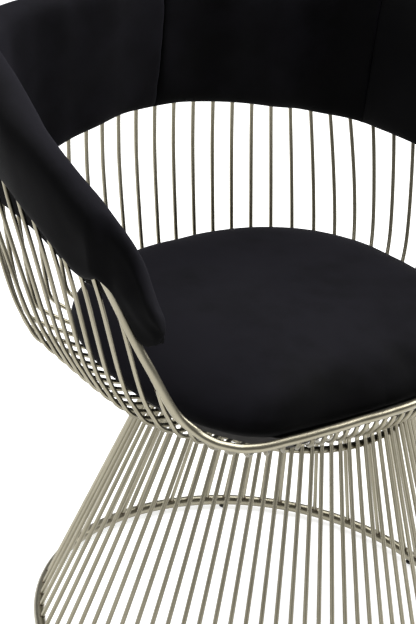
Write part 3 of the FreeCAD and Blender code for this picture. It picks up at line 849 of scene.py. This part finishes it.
def make_pad(name, node, side, a, b, seam_a, seam_b, seed):
    angs = pad_angles(a, b, seam_a, seam_b)
    loops = [pad_loop(side * d, 1.5 * MM) for d in angs]
    nl = len(loops[0])
    dist = np.stack([np.radians(np.abs(angs - (a if seam_a else 1e4))) * 0.3, np.radians(np.abs(angs - (b if seam_b else 1e4))) * 0.3]).min(0)
    tip = not seam_a
    if tip:
        # rounded front end
        c = loops[0].mean(0)
        fwd = loops[0].mean(0) - loops[2].mean(0)
        fwd /= np.linalg.norm(fwd)
        ring = []
        for size, push in ((0.16, 7.4), (0.40, 6.9), (0.63, 5.7), (0.82, 3.9), (0.95, 1.6)):
            ring.append(c + (loops[0] - c) * size + fwd * push * MM)
        loops = ring + loops
        dist = np.r_[[1.0] * 5, dist]
    verts = np.vstack(loops)
    faces = []
    nr = len(loops)
    for i in range(nr - 1):
        for j in range(nl):
            k = (j + 1) % nl
            faces.append((i * nl + j, i * nl + k, (i + 1) * nl + k, (i + 1) * nl + j))
    faces.append(tuple(range(nl))[::-1])
    faces.append(tuple((nr - 1) * nl + j for j in range(nl)))
    o = new_object(name, verts, faces, MAT["black_velvet"])
    outward(o)
    col = np.tile(np.arange(nl), nr)
    row = np.repeat(np.arange(nr), nl)
    hidden = col >= N_FACE
    ends = (row == nr - 1) if seam_b else np.zeros(len(row), bool)
    if seam_a:
        ends |= row == 0
    # sharp ends, so that two covers meet along the whole seam
    e = np.zeros(len(o.data.edges) * 2, int)
    o.data.edges.foreach_get("vertices", e)
    sharp = o.data.attributes.new("crease_edge", "FLOAT", "EDGE")
    sharp.data.foreach_set("value", ends[e.reshape(-1, 2)].all(1).astype(np.float32))
    puff(o, np.where(hidden | ends)[0], 4.0, 0.0040, 8)
    # seam: the cover dips in a narrow line, with faint gathers beside it
    d = np.repeat(dist, nl)
    nrm, c = normals_of(o), coords_of(o)
    inner_row = row.copy()
    if seam_a:
        inner_row = np.maximum(inner_row, 4)
    if seam_b:
        inner_row = np.minimum(inner_row, nr - 5)
    nrm = nrm[inner_row * nl + col]
    along_face = col / N_FACE * 0.26
    hem = np.clip(np.minimum(col, N_FACE - 1 - col) / 7.0, 0.12, 1.0)
    dip = hem * (0.9 * MM * np.exp(-(d / (1.2 * MM)) ** 2) + 0.35 * MM * np.exp(-(d / (6 * MM)) ** 2))
    gather = 0.35 * MM * np.exp(-d / (14 * MM)) * np.sin(along_face * 2 * math.pi / 0.021 + 2.0 * wobble(c, 0.09, seed))
    soft = 0.35 * MM * wobble(c, 0.075, seed + 1)
    w = (~hidden).astype(float)
    c = c + nrm * (w * (soft + gather - dip))[:, None]
    o.data.vertices.foreach_set("co", c.ravel())
    o.data.update()
    soft_finish(o, [node], PAD_LIT_SIDE)
    return o


# --- dust cover: black cloth stretched under the seat board, cut out round the four posts
def make_dust_cover():
    step = 4.0 * MM
    rad, front, corner, hole, pitch = 0.1905, 0.1435, 0.024, 0.0125, 0.124
    k = np.arange(-50, 51) * step
    gx, gy = np.meshgrid(k, k, indexing="ij")
    p = np.stack([gx.ravel(), gy.ravel()], -1)
    inside = (np.hypot(p[:, 0], p[:, 1]) < rad + step) & (p[:, 1] > -front - step)
    # draw the outermost points on to the cut edge
    r = np.hypot(p[:, 0], p[:, 1])
    far = r > rad - 0.45 * step
    p[far] *= (rad / np.maximum(r[far], 1e-6))[:, None]
    low = p[:, 1] < -front + 0.45 * step
    p[low, 1] = -front
    cx = math.sqrt((rad - corner) ** 2 - (front - corner) ** 2)
    for sx in (-1, 1):
        c = np.array([sx * cx, -(front - corner)])
        d = p - c
        out = (d[:, 0] * sx > 0) & (d[:, 1] < 0) & (np.hypot(d[:, 0], d[:, 1]) > corner) & (p[:, 1] < c[1])
        p[out] = c + d[out] / np.hypot(d[out, 0], d[out, 1])[:, None] * corner
    posts = [np.array([pitch * sx * math.sqrt(0.5), pitch * sy * math.sqrt(0.5)]) for sx in (-1, 1) for sy in (-1, 1)]
    core = np.zeros(len(p), bool)
    for c in posts:
        d = p - c
        h = np.hypot(d[:, 0], d[:, 1])
        ring = np.abs(h - hole) < 0.55 * step
        p[ring] = c + d[ring] / h[ring, None] * hole
        core |= h < hole - 0.55 * step
    n = len(k)
    ids = np.arange(n * n).reshape(n, n)
    faces = []
    for i in range(n - 1):
        for j in range(n - 1):
            q = [int(ids[i, j]), int(ids[i + 1, j]), int(ids[i + 1, j + 1]), int(ids[i, j + 1])]
            a = p[q]
            area2 = abs(np.cross(a[2] - a[0], a[3] - a[1]))
            in_hole = any(np.hypot(*(a.mean(0) - c)) < hole for c in posts)
            if inside[q].all() and not core[q].any() and not in_hole and area2 > 0.15 * step * step:
                faces.append(tuple(q))
    edge = np.minimum(np.minimum(rad - np.hypot(p[:, 0], p[:, 1]), p[:, 1] + front),
                      np.min([np.hypot(*(p - c).T) - hole for c in posts], 0))
    edge = np.clip(edge, 0, None)
    sag = 2.2 * MM * (1 - np.exp(-edge / 0.03)) + 0.25 * MM * np.exp(-edge / 0.02) * np.sin(np.arctan2(p[:, 0], p[:, 1]) * 46)
    v = np.stack([p[:, 0], p[:, 1] + Y_SHIFT, 362.2 * MM - sag], -1)
    o = new_object("dust_cover_sheet", v, faces, MAT["dust_cloth"])
    bm = bmesh.new()
    bm.from_mesh(o.data)
    bmesh.ops.delete(bm, geom=[x for x in bm.verts if not x.link_faces], context="VERTS")
    bmesh.ops.remove_doubles(bm, verts=bm.verts, dist=1e-5)
    bm.to_mesh(o.data)
    bm.free()
    print("dust cover area %.4f" % sum(f.area for f in o.data.polygons))
    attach(o, "root")
    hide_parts("seat_dust_cover")


make_dust_cover()
make_seat()
SEAM = 0.012
for label, sd in (("left", 1), ("right", -1)):
    make_pad("back_pad_%s_cover" % label, "back_pad_" + label, sd, PAD_SEAM + SEAM, 180 - SEAM, True, True, 11)
    make_pad("arm_pad_%s_cover" % label, "arm_pad_" + label, sd, TIP + 0.9, PAD_SEAM - SEAM, False, True, 23)

# ------------------------------------------------------------------ floor and light
def floor_material():
    n = Nodes("pale_floor")
    g = n.noise(n.coord("Object"), 3, 2, 0.5)
    n.link(n.ramp(g, [(0.3, (0.62, 0.62, 0.62, 1)), (0.7, (0.66, 0.66, 0.66, 1))]), n.p.inputs["Base Color"])
    n.set(Roughness=0.9, Specular_IOR_Level=0.1, Emission_Color=(1, 1, 1, 1), Emission_Strength=0.74)
    return n.mat


bm = bmesh.new()
bmesh.ops.create_grid(bm, x_segments=8, y_segments=8, size=8.0)
me = bpy.data.meshes.new("floor")
bm.to_mesh(me)
bm.free()
floor = bpy.data.objects.new("floor", me)
floor.location = (0, 0, -0.0005)
scene.collection.objects.link(floor)
me.materials.append(floor_material())

scene.view_settings.view_transform = "Standard"
world = bpy.data.worlds.new("studio")
world.use_nodes = True
scene.world = world
bg = world.node_tree.nodes["Background"]
bg.inputs[0].default_value = (1.0, 1.0, 1.0, 1)
bg.inputs[1].default_value = 0.24


def area(name, loc, target, size, power, color=(1, 1, 1)):
    d = bpy.data.lights.new(name, "AREA")
    d.shape = "RECTANGLE"
    d.size, d.size_y = size
    d.energy = power
    d.color = color
    o = bpy.data.objects.new(name, d)
    o.location = loc
    o.rotation_euler = (Vector(target) - Vector(loc)).to_track_quat("-Z", "Y").to_euler()
    scene.collection.objects.link(o)
    return o


area("top", (-0.3, 0.5, 3.0), (0, 0, 0.3), (3.2, 3.2), 168)
area("right", (2.5, -0.5, 2.1), (0, 0, 0.55), (1.4, 1.8), 75)
